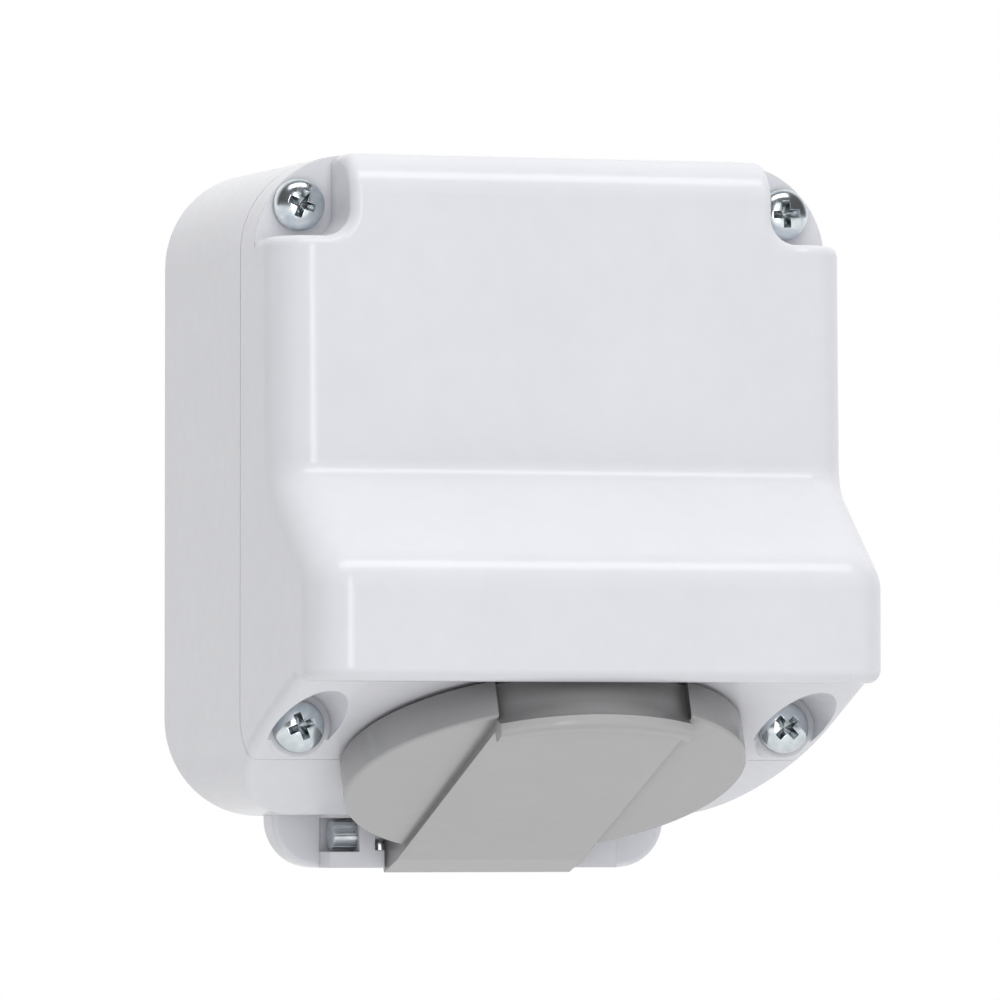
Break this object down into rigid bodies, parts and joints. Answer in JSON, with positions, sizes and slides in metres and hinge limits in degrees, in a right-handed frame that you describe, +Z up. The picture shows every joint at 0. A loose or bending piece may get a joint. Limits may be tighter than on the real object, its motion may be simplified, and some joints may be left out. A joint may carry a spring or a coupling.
{
  "type": "outdoor weatherproof socket",
  "caption": "Wall-mounted outdoor power socket: white two-part plastic housing with a stepped front, and a grey sprung round flap over the plug well in its slanted underside.",
  "frame": {"origin": "middle of the back face that lies on the wall", "axes": "+X to the right, +Y into the wall, +Z up; the front faces -Y"},
  "size_m": [0.0916, 0.081, 0.1087],
  "materials": {
    "housing": "satin moulded white",
    "flap_plastic": "satin moulded mid grey",
    "socket_plastic": "moulded light grey",
    "block_plastic": "moulded black",
    "seal_rubber": "soft matt",
    "zinc_steel": "bright zinc plated",
    "pin_steel": "bright drawn",
    "contact_brass": "bare"
  },
  "bodies": {
    "housing": {"rear_box": "housing", "front_cover": "housing", "cover_gasket": "seal_rubber", "cover_screws": "zinc_steel", "socket_front": "socket_plastic", "socket_base": "block_plastic", "contact_sleeve_left": "contact_brass", "contact_sleeve_right": "contact_brass", "earth_clip": "contact_brass", "terminal_left": "contact_brass", "terminal_right": "contact_brass", "terminal_earth": "contact_brass", "terminal_screws": "zinc_steel", "insert_screws": "zinc_steel", "front_screw": "zinc_steel", "collar_seal": "seal_rubber", "hinge_pin": "pin_steel", "torsion_spring": "pin_steel", "cable_grommet": "seal_rubber"},
    "flap": {"flap": "flap_plastic", "flap_seal": "seal_rubber"}
  },
  "joints": [
    {"name": "flap_hinge", "type": "hinge", "parent": "housing", "child": "flap", "pos_m": [0, -0.01461, -0.05287], "axis": [1, 0, 0], "range_deg": [0, 100], "stiffness_Nm_per_rad": 0.03, "springref_deg": -34.38, "deforming": ["torsion_spring"]}
  ]
}
